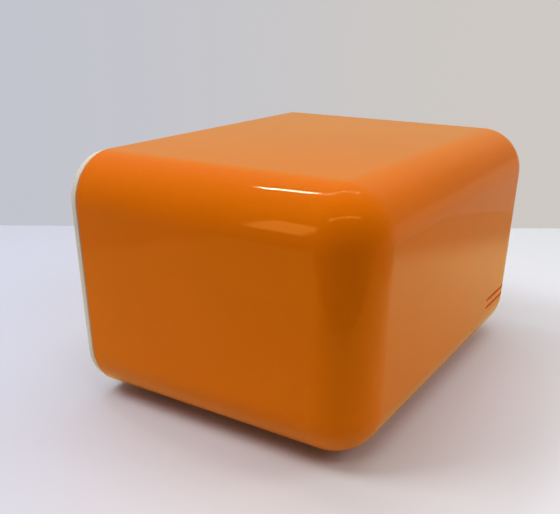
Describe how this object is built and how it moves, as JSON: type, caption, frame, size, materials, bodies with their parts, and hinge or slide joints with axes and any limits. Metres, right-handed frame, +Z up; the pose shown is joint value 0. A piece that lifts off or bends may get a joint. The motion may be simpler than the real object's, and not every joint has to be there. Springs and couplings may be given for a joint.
{
  "type": "bubble machine",
  "caption": "Tabletop bubble machine: rounded one-piece case, front panel with wand wheel in a round window, gearbox, centrifugal blower and battery box.",
  "frame": {"origin": "centre of the overall length and width, on the surface that the rubber feet stand on", "axes": "+Z up, -Y out of the front panel towards the bubbles, +X to the right seen from the front"},
  "size_m": [0.198, 0.16, 0.115],
  "materials": {
    "orange_shell": "high gloss moulded, deep orange",
    "cream_panel": "semi-gloss moulded, warm cream",
    "charcoal_plastic": "fine satin texture",
    "white_plastic": "natural, satin",
    "rubber_black": "matt",
    "steel": "bright plated",
    "brass": "turned",
    "cell_jacket": "shrink sleeve, plain",
    "lead_red": "PVC sleeve",
    "lead_black": "PVC sleeve"
  },
  "bodies": {
    "chassis": {"case_shell": "orange_shell", "window_bezel": "orange_shell", "intake_grille": "orange_shell", "front_panel": "cream_panel", "solution_trough": "cream_panel", "splash_hood": "charcoal_plastic", "bulkhead": "charcoal_plastic", "blower_housing": "charcoal_plastic", "blower_cover": "charcoal_plastic", "battery_box": "charcoal_plastic", "switch_body": "charcoal_plastic", "gearbox_case": "white_plastic", "gearbox_cover": "white_plastic", "air_nozzle": "white_plastic", "shaft_seal": "rubber_black", "foot_front_left": "rubber_black", "foot_front_right": "rubber_black", "foot_rear_left": "rubber_black", "foot_rear_right": "rubber_black", "bulkhead_screw_1": "steel", "bulkhead_screw_2": "steel", "bulkhead_screw_3": "steel", "bulkhead_screw_4": "steel", "gearbox_screw_1": "steel", "gearbox_screw_2": "steel", "gearbox_screw_3": "steel", "second_gear_pin": "steel", "first_gear_pin": "steel", "wheel_motor": "steel", "blower_motor": "steel", "front_contact": "steel", "rear_contact_left": "steel", "rear_contact_right": "steel", "contact_spring_1": "steel", "contact_spring_2": "steel", "contact_spring_3": "steel", "contact_spring_4": "steel", "switch_nut": "steel", "panel_screw_left": "steel", "panel_screw_right": "steel", "shaft_bush": "brass", "battery_1": "cell_jacket", "battery_2": "cell_jacket", "battery_3": "cell_jacket", "battery_4": "cell_jacket", "lead_battery_to_switch": "lead_red", "lead_switch_to_blower": "lead_red", "lead_switch_to_wheel": "lead_red", "lead_battery_return": "lead_black"},
    "wand_wheel": {"wand_wheel": "orange_shell", "wheel_shaft": "steel", "output_gear": "white_plastic"},
    "second_gear": {"second_gear": "white_plastic"},
    "first_gear": {"first_gear": "white_plastic"},
    "motor_pinion": {"motor_pinion": "brass"},
    "impeller": {"impeller": "white_plastic", "impeller_shaft": "steel"},
    "power_knob": {"power_knob": "orange_shell", "switch_shaft": "steel"},
    "battery_cover": {"battery_cover": "orange_shell"}
  },
  "joints": [
    {"name": "wheel_spin", "type": "hinge", "parent": "chassis", "child": "wand_wheel", "pos_m": [-0.048, -0.0295, 0.057], "axis": [0, 1, 0], "continuous": true},
    {"name": "second_gear_spin", "type": "hinge", "parent": "chassis", "child": "second_gear", "pos_m": [-0.03225, -0.027, 0.057], "axis": [0, 1, 0], "continuous": true},
    {"name": "first_gear_spin", "type": "hinge", "parent": "chassis", "child": "first_gear", "pos_m": [-0.0165, -0.0222, 0.057], "axis": [0, 1, 0], "continuous": true},
    {"name": "motor_spin", "type": "hinge", "parent": "chassis", "child": "motor_pinion", "pos_m": [-0.00075, -0.0198, 0.057], "axis": [0, 1, 0], "continuous": true},
    {"name": "blower_spin", "type": "hinge", "parent": "chassis", "child": "impeller", "pos_m": [-0.048, 0.033, 0.06], "axis": [1, 0, 0], "continuous": true},
    {"name": "knob_turn", "type": "hinge", "parent": "chassis", "child": "power_knob", "pos_m": [0.05, -0.066, 0.086], "axis": [0, 1, 0], "range_deg": [0, 90]},
    {"name": "battery_cover_slide", "type": "slide", "parent": "chassis", "child": "battery_cover", "axis": [0, 1, 0], "range_m": [0, 0.06]}
  ],
  "couplings": [
    {"joint": "second_gear_spin", "follows": "wheel_spin", "ratio": -3.5},
    {"joint": "first_gear_spin", "follows": "wheel_spin", "ratio": 12.25},
    {"joint": "motor_spin", "follows": "wheel_spin", "ratio": -42.875}
  ]
}
